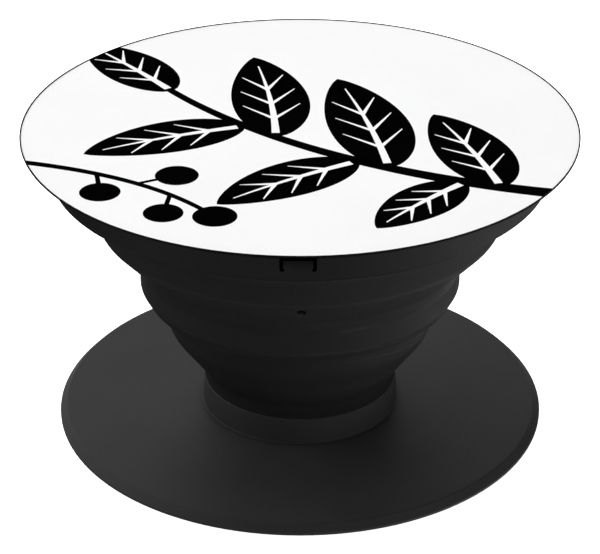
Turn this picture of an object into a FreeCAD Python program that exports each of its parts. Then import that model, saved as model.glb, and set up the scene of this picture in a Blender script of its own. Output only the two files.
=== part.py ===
import FreeCAD, Part
import math
import os

# Collapsible phone grip, expanded. Millimetres, +Z up.
# Origin: centre of the adhesive pad's underside, the face that is stuck to a phone.
# Front (the spring tab that faces the viewer) is at -Y.

# ---------------------------------------------------------------- dimensions
# adhesive pad
PAD_R = 16.50            # outer radius
PAD_T = 0.75             # thickness

# base plate
BASE_R = 18.00           # widest circle of the rim: an upright band
BASE_RIM_Z0 = 0.70       # lower and upper edge of that band
BASE_RIM_Z1 = 0.88
BASE_UNDER_Z = 0.50      # underside of the rim
BASE_UNDER_R = 17.55     # outer radius of the underside
BASE_TOP_Z = 1.40        # flat upper face
BASE_TOP_R = 17.50       # end of the flat upper face, start of the bevel
BASE_EDGE = 0.16         # rounding of that edge
PAD_POCKET_R = 16.56     # shallow pocket that takes the pad
NECK_FOOT_R = 7.28       # neck outside, at the plate
NECK_TOP_R = 7.12        # neck outside, at its top
NECK_TOP_Z = 3.40        # neck height
NECK_FILLET = 0.06       # fillet between neck and plate
NECK_BORE_R = 6.65       # bore under the retaining lip
LIP_R = 5.95             # bore of the retaining lip
LIP_Z = 2.55             # underside of the retaining lip
NECK_FLOOR_Z = 1.20      # floor of the bore

# bellows, outside, from the foot up
FOOT_FLANGE_R = 6.55     # flange that snaps under the neck's lip
FOOT_Z0 = 1.70           # underside of the flange
FOOT_Z1 = 2.45           # top of the flange
FOOT_TUBE_R = 5.85       # tube through the lip
BOWL_Z = 3.48            # bottom of the first band, just over the neck
BOWL_R = 7.03            # bottom edge of the first band
BOWL_MID = (7.17, 4.52)     # top of the first band, start of its cone
BOWL_EDGE = (9.77, 8.09)    # top of that cone, lower edge of the second band
STEP_LOW = (9.92, 10.38)    # top of the second band, inner corner under the third
BAND_LOW_R = 11.70       # third band: radius, lower and upper edge of its upright face
BAND_LOW_Z0 = 11.46
BAND_LOW_Z1 = 12.93
BAND_CHAMFER = (11.27, 10.68)   # lower end of the slope under that face
BAND_BEAD_R = 11.77      # fine bead over the face, where the upper cone starts
BAND_BEAD_Z0 = 13.02
BAND_BEAD_Z1 = 13.12
BAND_IN_Z0 = 10.80       # where the inside of that band turns, before the wall is taken off
BAND_IN_Z1 = 13.10
CONE_MID = (12.45, 14.40)   # the upper cone is a little hollow here
BAND_MID_R = 14.66       # fourth band: radius, lower and upper edge
BAND_MID_Z0 = 16.82
BAND_MID_Z1 = 19.00
BELLOWS_TOP_R = 16.50    # outer radius of the top ring, under the collar
BELLOWS_TOP_Z = 20.25
WALL = 0.85              # wall of the bands and of the bowl

# gate mark on the middle band
GATE_R = 0.42
GATE_DEPTH = 0.10
GATE_X = 0.12

# collar
COLLAR_Z0 = 20.27        # underside, on the bellows
COLLAR_LOW_Z = 20.41     # lower edge of the outside, before its chamfer
COLLAR_Z1 = 22.70        # top edge
COLLAR_LOW_R = 17.75     # outside at the lower edge, before its chamfer
COLLAR_TOP_R = 18.50     # outside at the top edge
COLLAR_CHAMFER = (17.47, 20.38)  # lower end of that chamfer
COLLAR_CHAMFER_Z = 20.68         # upper end
COLLAR_IN_R = 16.85      # inside of the wall
COLLAR_RING_R = 15.05    # inner edge of the thick ring on the bellows
BAYONET_R = 13.30        # bore of the bayonet lip
BAYONET_Z0 = 20.55       # bayonet lip, lower and upper face
BAYONET_Z1 = 21.15
NOTCH_R = 14.30          # notches that let the lugs out
NOTCH_DEG = 40.0         # width of a notch
TAB_X = -0.12            # middle of the front tab
TAB_SLIT_X = 1.10        # centre of a slit, either side of the tab's middle
TAB_SLIT_W = 0.24        # width of a slit
TAB_SLIT_Z = 21.52       # lower end of a slit
TAB_TOP_Z = 22.26        # free upper end of the tab
TAB_LEAN = ((21.60, 0.0), (21.88, 0.03), (22.08, 0.09), (TAB_TOP_Z, 0.19))  # heights, and how far the tab leans in there

# top button
TOP_R = 19.85            # outer radius
TOP_Z = 23.50            # upper face
EDGE_H = 0.12            # height of the outer edge
UNDER_R = 18.65          # inner end of the sloped underside
UNDER_Z = 22.88
FLANGE_Z = 22.82         # underside over the collar's top edge
PLUG_R = 16.65           # plug inside the collar
PLUG_Z = 21.30
HUB_Z = 21.75            # underside inside the skirt
SKIRT_R0 = 12.10         # skirt that carries the lugs
SKIRT_R1 = 13.15
SKIRT_Z = 19.85
LUG_R = 14.05            # bayonet lugs
LUG_Z1 = 20.45
LUG_DEG = 32.0           # width of a lug
NIB_R = 0.40             # detent nib that clicks behind the spring tab
NIB_OUT = 16.77

# printed face
FACE_T = 0.12            # thickness
FACE_SINK = 0.05         # the face lies this much below the rim
FACE_R_TOP = 19.75       # radius at the upper face
FACE_R_LOW = 19.30       # radius at the lower face
FACE_GAP = 0.02          # joint between face and rim

Z_AXIS = FreeCAD.Vector(0, 0, 1)
ORIGIN = FreeCAD.Vector(0, 0, 0)


# ---------------------------------------------------------------- helpers
def turned(points):
    """Solid of revolution about Z from a closed (r, z, fillet) outline."""
    n = len(points)
    first = []
    last = []
    mids = []
    for i in range(n):
        r, z = points[i][0], points[i][1]
        f = points[i][2] if len(points[i]) > 2 else 0.0
        p = FreeCAD.Vector(r, 0, z)
        if f <= 0:
            first.append(p)
            last.append(p)
            mids.append(None)
            continue
        a = FreeCAD.Vector(points[i - 1][0], 0, points[i - 1][1]) - p
        b = FreeCAD.Vector(points[(i + 1) % n][0], 0, points[(i + 1) % n][1]) - p
        a.normalize()
        b.normalize()
        half = math.acos(max(-1.0, min(1.0, a.dot(b)))) / 2.0
        reach = f / math.tan(half)
        bis = a + b
        bis.normalize()
        centre = p + bis * (f / math.sin(half))
        first.append(p + a * reach)
        last.append(p + b * reach)
        mids.append(centre - bis * f)
    edges = []
    for i in range(n):
        if mids[i] is not None:
            edges.append(Part.Arc(first[i], mids[i], last[i]).toShape())
        j = (i + 1) % n
        if (first[j] - last[i]).Length > 1e-6:
            edges.append(Part.LineSegment(last[i], first[j]).toShape())
    face = Part.Face(Part.Wire(edges))
    solid = face.revolve(ORIGIN, Z_AXIS, 360)
    if solid.Volume < 0:
        solid.reverse()
    return solid


def sector(r0, r1, z0, z1, mid_deg, width_deg):
    """Piece of a ring between two radii, two heights and two angles."""
    face = Part.Face(Part.makePolygon([
        FreeCAD.Vector(r0, 0, z0), FreeCAD.Vector(r1, 0, z0),
        FreeCAD.Vector(r1, 0, z1), FreeCAD.Vector(r0, 0, z1),
        FreeCAD.Vector(r0, 0, z0)]))
    solid = face.revolve(ORIGIN, Z_AXIS, width_deg)
    solid.rotate(ORIGIN, Z_AXIS, mid_deg - width_deg / 2.0)
    return solid


def inner_offset(p, q, t):
    """Line through p and q (going up and out), moved inwards by t: point and direction."""
    d = FreeCAD.Vector(q[0] - p[0], 0, q[1] - p[1])
    d.normalize()
    n = FreeCAD.Vector(-d.z, 0, d.x)
    return FreeCAD.Vector(p[0], 0, p[1]) + n * t, d


def meet(l1, l2):
    """Crossing point of two lines in the r-z plane."""
    (p, d), (q, e) = l1, l2
    den = d.x * e.z - d.z * e.x
    s = ((q.x - p.x) * e.z - (q.z - p.z) * e.x) / den
    c = p + d * s
    return (c.x, c.z)


# ---------------------------------------------------------------- adhesive pad
adhesive_pad = turned([
    (0, 0), (PAD_R, 0, 0.12), (PAD_R, PAD_T), (0, PAD_T)])

# ---------------------------------------------------------------- base plate
base_plate = turned([
    (0, PAD_T), (PAD_POCKET_R, PAD_T), (PAD_POCKET_R, BASE_UNDER_Z),
    (BASE_UNDER_R, BASE_UNDER_Z, 0.15), (BASE_R, BASE_RIM_Z0, 0.06), (BASE_R, BASE_RIM_Z1, 0.08),
    (BASE_TOP_R, BASE_TOP_Z, BASE_EDGE),
    (NECK_FOOT_R, BASE_TOP_Z, NECK_FILLET), (NECK_TOP_R, NECK_TOP_Z, 0.10),
    (LIP_R, NECK_TOP_Z, 0.12), (LIP_R, LIP_Z),
    (NECK_BORE_R, LIP_Z), (NECK_BORE_R, NECK_FLOOR_Z, 0.15), (0, NECK_FLOOR_Z)])

# ---------------------------------------------------------------- bellows
outer = [
    (BOWL_R, BOWL_Z, 0.15), BOWL_MID + (1.50,), BOWL_EDGE + (0.60,), STEP_LOW + (0.30,),
    BAND_CHAMFER + (0.12,), (BAND_LOW_R, BAND_LOW_Z0, 0.14), (BAND_LOW_R, BAND_LOW_Z1, 0.04),
    (BAND_BEAD_R, BAND_BEAD_Z0, 0.05), (BAND_BEAD_R, BAND_BEAD_Z1, 0.06), CONE_MID + (1.20,),
    (BAND_MID_R, BAND_MID_Z0, 0.63), (BAND_MID_R, BAND_MID_Z1, 0.30),
    (BELLOWS_TOP_R, BELLOWS_TOP_Z - 0.03), (BELLOWS_TOP_R, BELLOWS_TOP_Z)]
flat = [(BOWL_R, BOWL_Z), BOWL_MID, BOWL_EDGE, STEP_LOW, (BAND_LOW_R, BAND_IN_Z0), (BAND_LOW_R, BAND_IN_Z1), CONE_MID,
        (BAND_MID_R, BAND_MID_Z0), (BAND_MID_R, BAND_MID_Z1), (BELLOWS_TOP_R, BELLOWS_TOP_Z - 0.03)]
L_bowl1 = inner_offset(flat[0], flat[1], WALL)
L_bowl2 = inner_offset(flat[1], flat[2], WALL)
L_bowl3 = inner_offset(flat[2], flat[3], WALL)
L_step = inner_offset(flat[3], flat[4], WALL * 0.82)
L_low = inner_offset(flat[4], flat[5], WALL)
L_cone1 = inner_offset(flat[5], flat[6], WALL)
L_cone2 = inner_offset(flat[6], flat[7], WALL)
L_mid = inner_offset(flat[7], flat[8], WALL)
L_web = inner_offset(flat[8], flat[9], WALL * 0.65)
L_top = (FreeCAD.Vector(0, 0, BELLOWS_TOP_Z), FreeCAD.Vector(1, 0, 0))
inner = [
    meet(L_web, L_top), meet(L_mid, L_web) + (0.45,), meet(L_cone2, L_mid) + (0.40,),
    meet(L_cone1, L_cone2) + (0.80,), meet(L_low, L_cone1) + (0.40,), meet(L_step, L_low) + (0.40,),
    meet(L_bowl3, L_step) + (0.40,),
    meet(L_bowl2, L_bowl3) + (0.50,), meet(L_bowl1, L_bowl2) + (0.50,),
    (6.27, 4.05, 0.30), (FOOT_TUBE_R - 0.80, 3.30, 0.40), (FOOT_TUBE_R - 0.80, FOOT_Z0)]
foot = [
    (FOOT_FLANGE_R, FOOT_Z0, 0.15), (FOOT_FLANGE_R, FOOT_Z1),
    (FOOT_TUBE_R, FOOT_Z1), (FOOT_TUBE_R, BOWL_Z)]
bellows = turned(foot + outer + inner)
gate_r = BAND_MID_R - 0.12
gate_z = BAND_MID_Z0 - 0.10
gate_ball = Part.makeSphere(GATE_R)
gate_ball.translate(FreeCAD.Vector(GATE_X, -(gate_r + (GATE_R - GATE_DEPTH) * 0.80),
                                   gate_z - (GATE_R - GATE_DEPTH) * 0.45))
bellows = bellows.cut(gate_ball)

# ---------------------------------------------------------------- collar
lean = (COLLAR_TOP_R - COLLAR_LOW_R) / (COLLAR_Z1 - COLLAR_LOW_Z)


def collar_r(z):
    """Outside radius of the collar at a height."""
    return COLLAR_LOW_R + lean * (z - COLLAR_LOW_Z)


top_collar = turned([
    (BAYONET_R, BAYONET_Z0, 0.08), (COLLAR_RING_R, BAYONET_Z0), (COLLAR_RING_R, COLLAR_Z0),
    (BELLOWS_TOP_R, COLLAR_Z0), COLLAR_CHAMFER, (collar_r(COLLAR_CHAMFER_Z), COLLAR_CHAMFER_Z),
    (COLLAR_TOP_R, COLLAR_Z1, 0.12),
    (COLLAR_IN_R, COLLAR_Z1, 0.10), (COLLAR_IN_R, BAYONET_Z1, 0.20), (BAYONET_R, BAYONET_Z1, 0.08)])
for deg in (90.0, 270.0):
    top_collar = top_collar.cut(sector(BAYONET_R - 1.0, NOTCH_R, BAYONET_Z0 - 0.2,
                                       BAYONET_Z1 + 0.2, deg, NOTCH_DEG))
    for side in (-1, 1):
        slit = Part.makeBox(TAB_SLIT_W, 3.0, COLLAR_Z1 - TAB_SLIT_Z + 1.0,
                            FreeCAD.Vector(side * TAB_SLIT_X - TAB_X - TAB_SLIT_W / 2.0, 16.4, TAB_SLIT_Z))
        hook = Part.makeCylinder(0.15, 3.0, FreeCAD.Vector(side * (TAB_SLIT_X - 0.06) - TAB_X, 16.4, TAB_SLIT_Z + 0.05),
                                 FreeCAD.Vector(0, 1, 0))
        tool = slit.fuse(hook).removeSplitter()
        if deg > 180:
            tool.rotate(ORIGIN, Z_AXIS, 180)
        top_collar = top_collar.cut(tool)
    # the tab leans in towards its free end, and is open above it
    outline = Part.makePolygon([
        FreeCAD.Vector(-TAB_SLIT_X - TAB_X, y, z) for y, z in (
            [(collar_r(z) - lean_in, z) for z, lean_in in TAB_LEAN]
            + [(16.40, TAB_TOP_Z), (16.40, COLLAR_Z1 + 0.5), (20.0, COLLAR_Z1 + 0.5), (20.0, TAB_LEAN[0][0]),
               (collar_r(TAB_LEAN[0][0]), TAB_LEAN[0][0])])])
    tool = Part.Face(outline).extrude(FreeCAD.Vector(2.0 * TAB_SLIT_X, 0, 0))
    if deg > 180:
        tool.rotate(ORIGIN, Z_AXIS, 180)
    top_collar = top_collar.cut(tool)

# ---------------------------------------------------------------- top button
top_button = turned([
    (0, HUB_Z), (SKIRT_R0, HUB_Z, 0.20), (SKIRT_R0, SKIRT_Z, 0.10), (SKIRT_R1, SKIRT_Z, 0.10),
    (SKIRT_R1, PLUG_Z), (PLUG_R, PLUG_Z, 0.15), (PLUG_R, FLANGE_Z, 0.10), (UNDER_R - 0.10, FLANGE_Z),
    (UNDER_R, UNDER_Z), (TOP_R, TOP_Z - EDGE_H), (TOP_R, TOP_Z),
    (FACE_R_TOP + FACE_GAP, TOP_Z), (FACE_R_TOP + FACE_GAP, TOP_Z - FACE_SINK),
    (FACE_R_LOW + FACE_GAP, TOP_Z - FACE_SINK - FACE_T), (0, TOP_Z - FACE_SINK - FACE_T)])
for deg in (0.0, 180.0):
    top_button = top_button.fuse(sector(SKIRT_R1 - 0.30, LUG_R, SKIRT_Z + 0.10, LUG_Z1, deg, LUG_DEG))
for deg in (90.0, 270.0):
    nib = Part.makeCylinder(NIB_R, FLANGE_Z - PLUG_Z - 0.30,
                            FreeCAD.Vector(NIB_OUT - NIB_R, 0, PLUG_Z + 0.30), Z_AXIS)
    nib.rotate(ORIGIN, Z_AXIS, deg)
    top_button = top_button.fuse(nib)
top_button = top_button.removeSplitter()

# ---------------------------------------------------------------- printed face
printed_disc = turned([
    (0, TOP_Z - FACE_SINK - FACE_T), (FACE_R_LOW, TOP_Z - FACE_SINK - FACE_T),
    (FACE_R_TOP, TOP_Z - FACE_SINK), (0, TOP_Z - FACE_SINK)])

# ---------------------------------------------------------------- output
nodes = {
    "adhesive_pad": adhesive_pad,
    "base_plate": base_plate,
    "bellows": bellows,
    "top_collar": top_collar,
    "top_button": top_button,
    "printed_disc": printed_disc,
}
os.makedirs("parts", exist_ok=True)
for name, shape in nodes.items():
    solids = shape.Solids
    if len(solids) == 1:
        shape = solids[0]
    if not shape.isValid():
        shape.fix(1e-4, 1e-4, 1e-3)
    shape.exportStep(os.path.join("parts", name + ".step"))
    box = shape.BoundBox
    print("%-14s solids %d valid %s volume %8.1f mm3  z %.2f..%.2f  r %.2f" % (
        name, len(solids), shape.isValid(), shape.Volume, box.ZMin, box.ZMax, box.XMax))
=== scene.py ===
import bpy
import math
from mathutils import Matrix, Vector
from mathutils.geometry import delaunay_2d_cdt


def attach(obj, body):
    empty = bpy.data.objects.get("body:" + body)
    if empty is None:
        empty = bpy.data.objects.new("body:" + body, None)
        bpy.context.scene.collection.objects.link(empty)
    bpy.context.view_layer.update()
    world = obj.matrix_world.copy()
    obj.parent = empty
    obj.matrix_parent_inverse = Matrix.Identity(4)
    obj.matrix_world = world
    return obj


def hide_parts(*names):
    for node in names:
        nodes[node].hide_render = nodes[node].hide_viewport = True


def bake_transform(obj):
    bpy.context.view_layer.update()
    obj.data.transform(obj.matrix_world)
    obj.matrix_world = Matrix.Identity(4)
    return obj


# Collapsible phone grip, expanded, on a pale floor. Sizes below are in millimetres and become metres at MM.
MM = 0.001

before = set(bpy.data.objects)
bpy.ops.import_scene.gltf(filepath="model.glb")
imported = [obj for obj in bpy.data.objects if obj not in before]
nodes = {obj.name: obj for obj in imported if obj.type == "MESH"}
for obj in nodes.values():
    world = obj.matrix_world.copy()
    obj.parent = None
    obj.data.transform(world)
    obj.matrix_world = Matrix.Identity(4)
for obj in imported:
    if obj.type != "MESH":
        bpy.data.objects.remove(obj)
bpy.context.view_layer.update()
scene = bpy.context.scene


# ---------------------------------------------------------------- mesh helpers
def rounded(points, step_deg=9.0):
    """Closed (r, z, fillet) outline as a polyline with its corners rounded."""
    out = []
    n = len(points)
    for i in range(n):
        p = Vector(points[i][:2])
        f = points[i][2] if len(points[i]) > 2 else 0.0
        if f <= 0:
            out.append(p)
            continue
        a = (Vector(points[i - 1][:2]) - p).normalized()
        b = (Vector(points[(i + 1) % n][:2]) - p).normalized()
        half = math.acos(max(-1.0, min(1.0, a.dot(b)))) / 2.0
        bis = (a + b).normalized()
        centre = p + bis * (f / math.sin(half))
        u = p + a * (f / math.tan(half)) - centre
        v = p + b * (f / math.tan(half)) - centre
        a0 = math.atan2(u.y, u.x)
        turn = math.atan2(v.y, v.x) - a0
        turn = (turn + math.pi) % (2 * math.pi) - math.pi
        k = max(3, int(math.degrees(abs(turn)) / step_deg) + 1)
        for j in range(k + 1):
            t = a0 + turn * j / k
            out.append(centre + Vector((math.cos(t), math.sin(t))) * f)
    return out


def divided(line, longest):
    """Closed polyline with no run longer than longest(mid point)."""
    out = []
    for i, p in enumerate(line):
        q = line[(i + 1) % len(line)]
        k = max(1, math.ceil((q - p).length / longest((p + q) / 2) - 1e-6))
        out += [p.lerp(q, j / k) for j in range(k)]
    return out


def new_object(name, verts, faces, material_ids=None, smooth=True):
    mesh = bpy.data.meshes.new(name)
    mesh.from_pydata([(x * MM, y * MM, z * MM) for x, y, z in verts], [], faces)
    if material_ids is not None:
        mesh.polygons.foreach_set("material_index", material_ids)
    mesh.polygons.foreach_set("use_smooth", [smooth] * len(mesh.polygons))
    mesh.update()
    obj = bpy.data.objects.new(name, mesh)
    scene.collection.objects.link(obj)
    return obj


# ---------------------------------------------------------------- material helpers
def material(name):
    mat = bpy.data.materials.new(name)
    mat.use_nodes = True
    tree = mat.node_tree
    shader = next(n for n in tree.nodes if n.type == "BSDF_PRINCIPLED")
    coords = tree.nodes.new("ShaderNodeTexCoord")
    return mat, tree, shader, coords.outputs["Object"]


def noise(tree, vector, size_mm, detail=2.0, rough=0.5, stretch=None, distortion=0.0):
    """Noise whose blotches are about size_mm across; stretch lengthens them along an axis."""
    if stretch is not None:
        mapping = tree.nodes.new("ShaderNodeMapping")
        mapping.inputs["Scale"].default_value = stretch
        tree.links.new(vector, mapping.inputs["Vector"])
        vector = mapping.outputs["Vector"]
    node = tree.nodes.new("ShaderNodeTexNoise")
    node.inputs["Scale"].default_value = 1.0 / (size_mm * MM)
    node.inputs["Detail"].default_value = detail
    node.inputs["Roughness"].default_value = rough
    node.inputs["Distortion"].default_value = distortion
    tree.links.new(vector, node.inputs["Vector"])
    return node.outputs["Fac"]


def spread(tree, value, low, high, from_low=0.3, from_high=0.7):
    node = tree.nodes.new("ShaderNodeMapRange")
    node.inputs["From Min"].default_value = from_low
    node.inputs["From Max"].default_value = from_high
    node.inputs["To Min"].default_value = low
    node.inputs["To Max"].default_value = high
    tree.links.new(value, node.inputs["Value"])
    return node.outputs["Result"]


def between(tree, value, dark, light, low=0.3, high=0.7):
    node = tree.nodes.new("ShaderNodeValToRGB")
    node.color_ramp.elements[0].position = low
    node.color_ramp.elements[0].color = (*dark, 1)
    node.color_ramp.elements[1].position = high
    node.color_ramp.elements[1].color = (*light, 1)
    tree.links.new(value, node.inputs["Fac"])
    return node.outputs["Color"]


def bump(tree, height, depth_mm, strength, under=None):
    node = tree.nodes.new("ShaderNodeBump")
    node.inputs["Strength"].default_value = strength
    node.inputs["Distance"].default_value = depth_mm * MM
    tree.links.new(height, node.inputs["Height"])
    if under is not None:
        tree.links.new(under, node.inputs["Normal"])
    return node.outputs["Normal"]


def moulded(name, dark, light, rough, grain_mm, grain_depth, wave_depth, sheen, painted_light_and_shade_rings=()):
    """Satin moulded plastic: spark-eroded grain, slow sink waves, handling haze and uneven gloss.
    The last argument lists rings where light and shade are painted into the tone: two radii, and the tone's factor
    inside and outside them."""
    mat, tree, shader, co = material(name)
    shader.inputs["Specular IOR Level"].default_value = 0.01
    shader.inputs["Coat Weight"].default_value = sheen
    shader.inputs["Coat Roughness"].default_value = 0.54
    tone = between(tree, noise(tree, co, 5.0, 3.0, 0.55), dark, light)
    if painted_light_and_shade_rings:
        flat = tree.nodes.new("ShaderNodeVectorMath")
        flat.operation = "MULTIPLY"
        flat.inputs[1].default_value = (1, 1, 0)
        tree.links.new(co, flat.inputs[0])
        radius = tree.nodes.new("ShaderNodeVectorMath")
        radius.operation = "LENGTH"
        tree.links.new(flat.outputs["Vector"], radius.inputs[0])
    for r0, r1, inner, outer in painted_light_and_shade_rings:
        zone = tree.nodes.new("ShaderNodeVectorMath")
        zone.operation = "SCALE"
        tree.links.new(tone, zone.inputs[0])
        tree.links.new(spread(tree, radius.outputs["Value"], inner, outer, r0 * MM, r1 * MM), zone.inputs["Scale"])
        tone = zone.outputs["Vector"]
    tree.links.new(tone, shader.inputs["Base Color"])
    gloss = noise(tree, co, 2.6, 5.0, 0.62)
    tree.links.new(spread(tree, gloss, rough[0], rough[1]), shader.inputs["Roughness"])
    waves = bump(tree, noise(tree, co, 6.5, 1.0, 0.4), wave_depth, 1.0)
    grain = bump(tree, noise(tree, co, grain_mm, 2.0, 0.6), grain_depth, 1.0, waves)
    tree.links.new(grain, shader.inputs["Normal"])
    tree.links.new(grain, shader.inputs["Coat Normal"])
    return mat


def assign(obj, *mats):
    """Gives a mesh its finish: a carried-over node keeps its one slot, a new mesh gets its slots."""
    for i, m in enumerate(mats):
        if i < len(obj.data.materials):
            obj.data.materials[i] = m
        else:
            obj.data.materials.append(m)


# ---------------------------------------------------------------- materials
# painted light and shade on the base plate's tone: painted shade on the neck under the bellows, a painted pool of light
# round the neck's foot, painted shade on the rim bevel
base_plastic = moulded("base_satin_black", (0.0215, 0.0215, 0.0219), (0.0250, 0.0250, 0.0254),
                       (0.50, 0.58), 0.16, 0.0010, 0.002, 0.245, ((7.45, 7.75, 0.70, 1.0), (8.5, 12.5, 1.13, 1.0), (17.40, 17.56, 1.0, 0.65)))
top_plastic = moulded("top_satin_black", (0.0035, 0.0035, 0.0037), (0.0047, 0.0047, 0.0049),
                      (0.50, 0.58), 0.14, 0.0010, 0.002, 0.094)
button_plastic = moulded("button_deep_black", (0.0030, 0.0030, 0.0032), (0.0045, 0.0045, 0.0047),
                         (0.50, 0.58), 0.14, 0.0010, 0.002, 0.0)

# soft elastomer: matte, a painted highlight along the creases where it bends, fine moulded skin
elastomer, tree, shader, co = material("elastomer_matte_black")
shader.inputs["Specular IOR Level"].default_value = 0.01
shader.inputs["Coat Weight"].default_value = 0.059
shader.inputs["Coat Roughness"].default_value = 0.53
haze = noise(tree, co, 3.2, 4.0, 0.6, stretch=(0.45, 0.45, 1.6))
tone = between(tree, haze, (0.0095, 0.0095, 0.0097), (0.0117, 0.0117, 0.0119))
height = tree.nodes.new("ShaderNodeSeparateXYZ")
tree.links.new(co, height.inputs["Vector"])
# painted light on the lower bowl cone (lighter below 6.6 to 8.4 mm) and painted shade at the bowl's foot (darker below
# 4.0 to 5.4 mm)
for z0, z1, low, high in ((6.6, 8.4, 1.36, 1.0), (4.0, 5.4, 0.72, 1.0)):
    light_and_shade_by_height = tree.nodes.new("ShaderNodeVectorMath")
    light_and_shade_by_height.operation = "SCALE"
    tree.links.new(tone, light_and_shade_by_height.inputs[0])
    tree.links.new(spread(tree, height.outputs["Z"], low, high, z0 * MM, z1 * MM), light_and_shade_by_height.inputs["Scale"])
    tone = light_and_shade_by_height.outputs["Vector"]
# painted highlight along the creases, read from the crease attribute and broken up by noise
painted_highlight = tree.nodes.new("ShaderNodeAttribute")
painted_highlight.attribute_name = "crease"
patchy_highlight = tree.nodes.new("ShaderNodeMath")
patchy_highlight.operation = "MULTIPLY"
tree.links.new(painted_highlight.outputs["Fac"], patchy_highlight.inputs[0])
tree.links.new(spread(tree, noise(tree, co, 0.55, 3.0, 0.6), 0.35, 1.0), patchy_highlight.inputs[1])
highlight_tone = tree.nodes.new("ShaderNodeVectorMath")
highlight_tone.operation = "SCALE"
tree.links.new(tone, highlight_tone.inputs[0])
tree.links.new(spread(tree, patchy_highlight.outputs["Value"], 1.0, 2.1, 0.0, 1.0), highlight_tone.inputs["Scale"])
tree.links.new(highlight_tone.outputs["Vector"], shader.inputs["Base Color"])
tree.links.new(spread(tree, noise(tree, co, 1.7, 5.0, 0.6), 0.46, 0.60), shader.inputs["Roughness"])
drag = bump(tree, noise(tree, co, 1.1, 3.0, 0.5, stretch=(0.22, 0.22, 1.5)), 0.010, 1.0)
skin = bump(tree, noise(tree, co, 0.11, 2.0, 0.55), 0.0022, 1.0, drag)
tree.links.new(skin, shader.inputs["Normal"])
tree.links.new(skin, shader.inputs["Coat Normal"])

# white film of the face, and the ink on it
film, tree, shader, co = material("face_white_film")
shader.inputs["Specular IOR Level"].default_value = 0.12
tree.links.new(between(tree, noise(tree, co, 7.0, 3.0, 0.5), (0.905, 0.905, 0.905), (0.925, 0.925, 0.925)),
               shader.inputs["Base Color"])
tree.links.new(spread(tree, noise(tree, co, 2.2, 4.0, 0.6), 0.34, 0.44), shader.inputs["Roughness"])
tree.links.new(bump(tree, noise(tree, co, 0.35, 2.0, 0.5), 0.0012, 1.0), shader.inputs["Normal"])

ink, tree, shader, co = material("face_black_ink")
shader.inputs["Specular IOR Level"].default_value = 0.0
tree.links.new(between(tree, noise(tree, co, 3.0, 4.0, 0.6), (0.0006, 0.0006, 0.0007), (0.0014, 0.0014, 0.0015)),
               shader.inputs["Base Color"])
tree.links.new(spread(tree, noise(tree, co, 1.6, 4.0, 0.6), 0.36, 0.48), shader.inputs["Roughness"])
tree.links.new(bump(tree, noise(tree, co, 0.35, 2.0, 0.5), 0.0012, 1.0), shader.inputs["Normal"])

# soft self-adhesive gel: a little glossy, with a cast skin and faint trapped specks
gel, tree, shader, co = material("adhesive_gel")
shader.inputs["Specular IOR Level"].default_value = 0.45
shader.inputs["Coat Weight"].default_value = 0.35
shader.inputs["Coat Roughness"].default_value = 0.12
tree.links.new(between(tree, noise(tree, co, 2.8, 5.0, 0.6), (0.020, 0.020, 0.021), (0.034, 0.034, 0.035)),
               shader.inputs["Base Color"])
tree.links.new(spread(tree, noise(tree, co, 1.3, 5.0, 0.65), 0.26, 0.42), shader.inputs["Roughness"])
peel = bump(tree, noise(tree, co, 0.9, 2.0, 0.45), 0.012, 1.0)
tree.links.new(bump(tree, noise(tree, co, 0.14, 2.0, 0.5), 0.0020, 1.0, peel), shader.inputs["Normal"])

assign(nodes["base_plate"], base_plastic)
assign(nodes["top_collar"], top_plastic)
assign(nodes["top_button"], button_plastic)
assign(nodes["adhesive_pad"], gel)

# ---------------------------------------------------------------- bellows
foot = [(6.55, 1.70, 0.15), (6.55, 2.45), (5.85, 2.45), (5.85, 3.41)]
outside = [(7.10, 3.41), (7.18, 4.52, 1.50), (9.77, 8.09, 2.40), (9.92, 10.38, 0.30),
           (11.27, 10.68, 0.12), (11.70, 11.46, 0.14), (11.70, 12.93, 0.04),
           (11.77, 13.02, 0.05), (11.77, 13.12, 0.06), (12.45, 14.40, 1.20), (14.66, 16.82, 0.63),
           (14.66, 19.00, 0.90), (16.50, 20.22), (16.50, 20.25)]
inside = [(15.545, 20.25), (13.81, 19.099, 0.45), (13.81, 17.150, 0.40), (11.76, 14.905, 0.80),
          (10.85, 13.328, 0.40), (10.85, 11.316, 0.40), (9.102, 10.903, 0.40), (8.938, 8.391, 0.50),
          (6.356, 4.847, 0.50), (6.27, 4.05, 0.30), (5.05, 3.30, 0.40), (5.05, 1.70)]
GATE = (0.06, 16.07)                 # moulding gate at the front: x and z of its middle
GATE_HALF = (0.29, 0.23)             # half width and half height

# creases of the soft wall: height, half width, how strong their painted highlight is, then (angle, z) along the crease
CREASES = (
    (0.070, 0.10, 1.0, ((314, 13.12), (326, 13.14), (340, 13.17), (354, 13.20))),
    (0.030, 0.08, 0.9, ((280, 13.09), (291, 13.12), (299, 13.14))),
    (0.030, 0.10, 0.8, ((301, 13.26), (304, 13.28), (307, 13.30))),
    (0.040, 0.08, 0.9, ((252, 11.20), (262, 11.34), (276, 11.42), (288, 11.37), (299, 11.28), (308, 11.06), (318, 10.90), (330, 10.72))),
    (0.035, 0.09, 0.9, ((284, 9.43), (300, 9.34), (308, 9.16), (314, 8.99), (326, 8.66), (334, 8.45))),
    (0.020, 0.10, 0.4, ((225, 10.77), (236, 10.76), (243, 10.78), (256, 11.20))))
CREASED = ((8.2, 9.7), (10.5, 11.75), (12.8, 13.6))  # heights that need a fine mesh for them


def outer_wall(p):
    return p.x > (9.35 if p.y < 10.45 else 11.0 if p.y < 12.0 else 11.45)


def bellows_run(p):
    if abs(p.y - GATE[1]) < 0.46 and p.x > 13.45:
        return 0.05
    if outer_wall(p) and any(low < p.y < high for low, high in CREASED):
        return 0.06
    if p.y > 3.3 and p.x > 7.0 + 0.55 * (p.y - 4.0):
        return 0.24
    return 0.55


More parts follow.
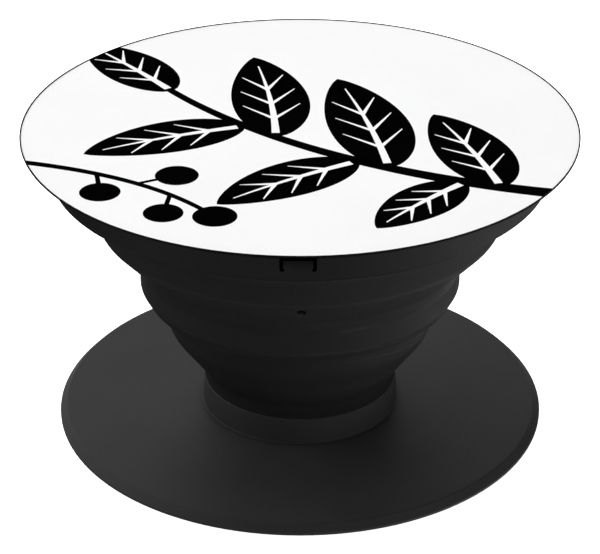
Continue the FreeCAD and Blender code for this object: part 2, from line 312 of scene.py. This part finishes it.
section = divided(rounded(foot + outside + inside), bellows_run)

angles = []
a = 0.0
while a < 360.0 - 1e-6:
    angles.append(a)
    off = abs((a + 0.02) - 270.0 - math.degrees(GATE[0] / 14.6))
    a += 0.14 if off < 1.9 else (0.5 if off < 3.2 else 1.25)
angles = [x * 360.0 / a for x in angles]


def gate_dip(x, y, z):
    if y > 0:
        return 0.0
    d = (((x - GATE[0]) / GATE_HALF[0]) ** 4 + ((z - GATE[1]) / GATE_HALF[1]) ** 4) ** 0.25
    return 0.42 * max(0.0, min(1.0, (1.15 - d) / 0.32))


def crease(deg, z):
    """How far the wall stands out at an angle and height, and how strong the painted highlight along the crease is
    there.
    """
    rise = painted_highlight = 0.0
    for height, half, level, way in CREASES:
        first, last = way[0][0], way[-1][0]
        if not first < deg < last:
            continue
        i = next(j for j in range(1, len(way)) if deg <= way[j][0])
        u = (deg - way[i - 1][0]) / (way[i][0] - way[i - 1][0])
        off = (z - way[i - 1][1] - u * (way[i][1] - way[i - 1][1])) / half
        if abs(off) < 3.0:
            ends = math.sin(math.pi * (deg - first) / (last - first)) ** 0.7
            uneven = 0.75 + 0.18 * math.sin(0.9 * deg + 7.0 * z) + 0.12 * math.sin(2.3 * deg + 1.0)
            rise += height * ends * uneven * math.exp(-off * off)
            painted_highlight = max(painted_highlight, level * ends * uneven * math.exp(-off * off))
    return rise, painted_highlight


verts, painted_highlight_at = [], []
for p in section:
    on_band = p.x > 13.45 and 15.5 < p.y < 16.7
    creased = outer_wall(p) and 7.5 < p.y < 14.0
    for deg in angles:
        t = math.radians(deg)
        r = p.x
        if on_band:
            r -= gate_dip(r * math.cos(t), r * math.sin(t), p.y)
        rise, painted_highlight = crease(deg, p.y) if creased else (0.0, 0.0)
        r += rise
        painted_highlight_at.append(painted_highlight)
        verts.append((r * math.cos(t), r * math.sin(t), p.y))
m = len(angles)
k = len(section)
faces = [(i * m + j, i * m + (j + 1) % m, ((i + 1) % k) * m + (j + 1) % m, ((i + 1) % k) * m + j)
         for i in range(k) for j in range(m)]
bellows = new_object("bellows_skin", verts, faces)
assign(bellows, elastomer)
# per-vertex strength of the painted highlight along the creases
bellows.data.attributes.new("crease", "FLOAT", "POINT").data.foreach_set("value", painted_highlight_at)
bellows.data.set_sharp_from_angle(angle=math.radians(50))
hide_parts("bellows")
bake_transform(bellows)

# ---------------------------------------------------------------- printed face
FACE_TOP, FACE_LOW, FACE_R, FACE_R_LOW = 23.45, 23.33, 19.75, 19.30


def bezier(p, t):
    s = 1 - t
    return (Vector(p[0]) * s ** 3 + Vector(p[1]) * 3 * s * s * t
            + Vector(p[2]) * 3 * s * t * t + Vector(p[3]) * t ** 3)


def bezier_way(p, t):
    s = 1 - t
    return ((Vector(p[1]) - Vector(p[0])) * 3 * s * s + (Vector(p[2]) - Vector(p[1])) * 6 * s * t
            + (Vector(p[3]) - Vector(p[2])) * 3 * t * t).normalized()


def side_of(d):
    return Vector((-d.y, d.x))


def ribbon(line, half):
    """Closed outline of a stroke along a line of points, half(u) wide either side."""
    left, right = [], []
    n = len(line)
    for i, p in enumerate(line):
        d = (line[min(i + 1, n - 1)] - line[max(i - 1, 0)]).normalized()
        w = half(i / (n - 1))
        left.append(p + side_of(d) * w)
        right.append(p - side_of(d) * w)
    return left + right[::-1]


def leaf(root, way, length, width, bend):
    """Outline of a leaf, and the fine lines left white in it."""
    def axis(u):
        return root + way * (length * u) + side_of(way) * (bend * length * u * u)

    def half(u):
        return width * 2.02 * u ** 0.62 * max(0.0, 1 - u) ** 0.80 * 0.5

    line = [axis(i / 40) for i in range(41)]
    edge = ribbon(line, half)
    whites = [ribbon([axis(0.05 + 0.83 * i / 24) for i in range(25)], lambda u: 0.24 * (1 - u) + 0.05)]
    for u in (0.22, 0.40, 0.58):
        d = (axis(u + 0.01) - axis(u)).normalized()
        for s in (1, -1):
            end_u = u + 0.17
            tip = axis(end_u) + side_of((axis(end_u + 0.01) - axis(end_u)).normalized()) * s * half(end_u) * 0.74
            whites.append(ribbon([axis(u).lerp(tip, j / 8) for j in range(9)], lambda v: 0.12 * (1 - v) + 0.04))
    return edge, whites


def dot(x, y, r):
    return [Vector((x + r * math.cos(2 * math.pi * i / 40), y + r * math.sin(2 * math.pi * i / 40))) for i in range(40)]


blacks, whites = [], []
stem = [(18.6, -11.0), (9.0, -9.2), (-2.0, -4.0), (-9.6, 6.4)]
blacks.append(ribbon([bezier(stem, i / 60) for i in range(61)], lambda u: 0.72 - 0.40 * u))
for t, s, length, width, angle, bend in (
        (0.17, 1, 12.4, 6.9, 60, -0.10), (0.25, -1, 9.2, 5.6, 62, 0.10),
        (0.42, 1, 15.4, 7.7, 56, -0.09), (0.49, -1, 11.6, 6.5, 58, 0.11),
        (0.69, 1, 14.2, 7.4, 50, -0.10), (0.77, -1, 12.0, 6.6, 58, 0.12),
        (0.99, 1, 11.2, 6.4, 2, -0.06)):
    d = bezier_way(stem, t)
    th = math.atan2(d.y, d.x) - s * math.radians(angle)
    edge, lines = leaf(bezier(stem, t), Vector((math.cos(th), math.sin(th))), length, width, -s * bend)
    blacks.append(edge)
    whites += lines
# a berry twig that comes in from the other side
twig = [(-20.4, -5.6), (-15.0, -6.8), (-10.0, -9.0), (-6.4, -13.2)]
blacks.append(ribbon([bezier(twig, i / 40) for i in range(41)], lambda u: 0.34 - 0.12 * u))
for t, s, reach, r in ((0.42, -1, 2.8, 1.40), (0.62, 1, 2.9, 1.50), (0.80, -1, 2.7, 1.35), (1.0, 0, 1.2, 1.50)):
    p = bezier(twig, t)
    d = bezier_way(twig, t)
    end = p + (d * 0.55 + side_of(d) * s * 0.85) * reach if s else p + d * reach
    blacks.append(ribbon([p.lerp(end, i / 6) for i in range(7)], lambda u: 0.17))
    blacks.append(dot(end.x, end.y, r))

ring = [Vector((FACE_R * math.cos(2 * math.pi * i / 540), FACE_R * math.sin(2 * math.pi * i / 540))) for i in range(540)]
points, loops = [], []
for outline in [ring] + blacks + whites:
    n = len(outline)
    if sum(outline[i - 1].x * outline[i].y - outline[i].x * outline[i - 1].y for i in range(n)) < 0:
        outline = outline[::-1]
    loops.append(list(range(len(points), len(points) + n)))
    points += outline
vs, _, fs, _, _, origin = delaunay_2d_cdt(points, [], loops, 1, 1e-4, True)
first_white = 1 + len(blacks)
top_faces, top_ids = [], []
for f, o in zip(fs, origin):
    if 0 not in o:
        continue
    black = any(1 <= x < first_white for x in o) and not any(x >= first_white for x in o)
    top_faces.append(tuple(f))
    top_ids.append(1 if black else 0)
used = sorted({v for f in top_faces for v in f})
index = {v: i for i, v in enumerate(used)}
verts = [(vs[v].x, vs[v].y, FACE_TOP) for v in used]
faces = [tuple(index[v] for v in f) for f in top_faces]
uses = {}
for f in faces:
    for i in range(3):
        uses[(f[i], f[(i + 1) % 3])] = True
rim_next = {a: b for (a, b) in uses if (b, a) not in uses}
start = next(iter(rim_next))
rim = [start]
while rim_next[rim[-1]] != start:
    rim.append(rim_next[rim[-1]])
low = {}
for v in rim:
    x, y, _ = verts[v]
    f = FACE_R_LOW / FACE_R
    low[v] = len(verts)
    verts.append((x * f, y * f, FACE_LOW))
for i, v in enumerate(rim):
    w = rim[(i + 1) % len(rim)]
    faces.append((v, low[v], low[w], w))
    top_ids.append(0)
faces.append(tuple(low[v] for v in reversed(rim)))
top_ids.append(0)
face = new_object("printed_face", verts, faces, top_ids, smooth=False)
assign(face, film, ink)
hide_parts("printed_disc")
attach(face, "top")

# ---------------------------------------------------------------- floor, light, camera
floor_mat, tree, shader, co = material("floor_white")
shader.inputs["Roughness"].default_value = 0.9
shader.inputs["Specular IOR Level"].default_value = 0.0
shader.inputs["Emission Color"].default_value = (1, 1, 1, 1)
shader.inputs["Emission Strength"].default_value = 1.0
tree.links.new(between(tree, noise(tree, co, 60.0, 2.0, 0.5), (0.90, 0.90, 0.90), (0.92, 0.92, 0.92)),
               shader.inputs["Base Color"])
floor = new_object("floor", [(-3000, -3000, 0), (3000, -3000, 0), (3000, 3000, 0), (-3000, 3000, 0)], [(0, 1, 2, 3)])
assign(floor, floor_mat)
floor.visible_glossy = False
floor.visible_diffuse = False
floor.visible_shadow = False


def softbox(name, place, target, size, power):
    light = bpy.data.lights.new(name, "AREA")
    light.shape = "RECTANGLE"
    light.size, light.size_y = size
    light.energy = power
    obj = bpy.data.objects.new(name, light)
    obj.location = place
    obj.rotation_euler = (Vector(target) - Vector(place)).to_track_quat("-Z", "Y").to_euler()
    scene.collection.objects.link(obj)
    return obj


softbox("light_left", (-0.47, -0.06, 0.65), (0, 0, 0.01), (0.30, 0.30), 1.29)
softbox("light_right", (0.47, -0.06, 0.65), (0, 0, 0.01), (0.30, 0.30), 0.99)

# light tent: soft patches of light round the object, each at an azimuth and elevation in degrees, with its strength
world = bpy.data.worlds.new("studio")
scene.world = world
world.use_nodes = True
tree = world.node_tree
back = tree.nodes["Background"]
back.inputs["Color"].default_value = (1, 1, 1, 1)
sky = tree.nodes.new("ShaderNodeTexCoord")
total = None
for az, el, strength in ((108, 30, 1.30), (180, 30, 1.53), (90, 0, 0.85), (306, 0, 1.65), (144, 30, 1.18), (0, -30, 2.93),
                         (270, 0, 0.55), (210, -60, 1.53), (72, 30, 0.10), (342, 0, 0.39), (162, 0, 0.42), (30, -60, 1.04),
                         (330, -60, 0.52), (198, 0, 0.16), (180, -30, 0.09)):
    az, el = math.radians(az), math.radians(el)
    along = tree.nodes.new("ShaderNodeVectorMath")
    along.operation = "DOT_PRODUCT"
    along.inputs[1].default_value = (math.cos(az) * math.cos(el), math.sin(az) * math.cos(el), math.sin(el))
    tree.links.new(sky.outputs["Generated"], along.inputs[0])
    part = spread(tree, along.outputs["Value"], 0.0, strength, 0.70, 1.0)
    if total is None:
        total = part
    else:
        add = tree.nodes.new("ShaderNodeMath")
        add.operation = "ADD"
        tree.links.new(total, add.inputs[0])
        tree.links.new(part, add.inputs[1])
        total = add.outputs["Value"]
tree.links.new(total, back.inputs["Strength"])

scene.view_settings.view_transform = "Standard"
scene.view_settings.look = "None"
scene.view_settings.exposure = 0.0
scene.view_settings.gamma = 1.0

lens = bpy.data.cameras.new("camera")
lens.sensor_fit = "HORIZONTAL"
lens.sensor_width = 36.0
lens.lens = 145.23
lens.clip_start = 0.002
lens.clip_end = 20.0
camera = bpy.data.objects.new("camera", lens)
camera.location = (0.0, -0.15636, 0.09595)
camera.rotation_euler = (math.radians(61.558), 0.0, 0.0)
scene.collection.objects.link(camera)
scene.camera = camera
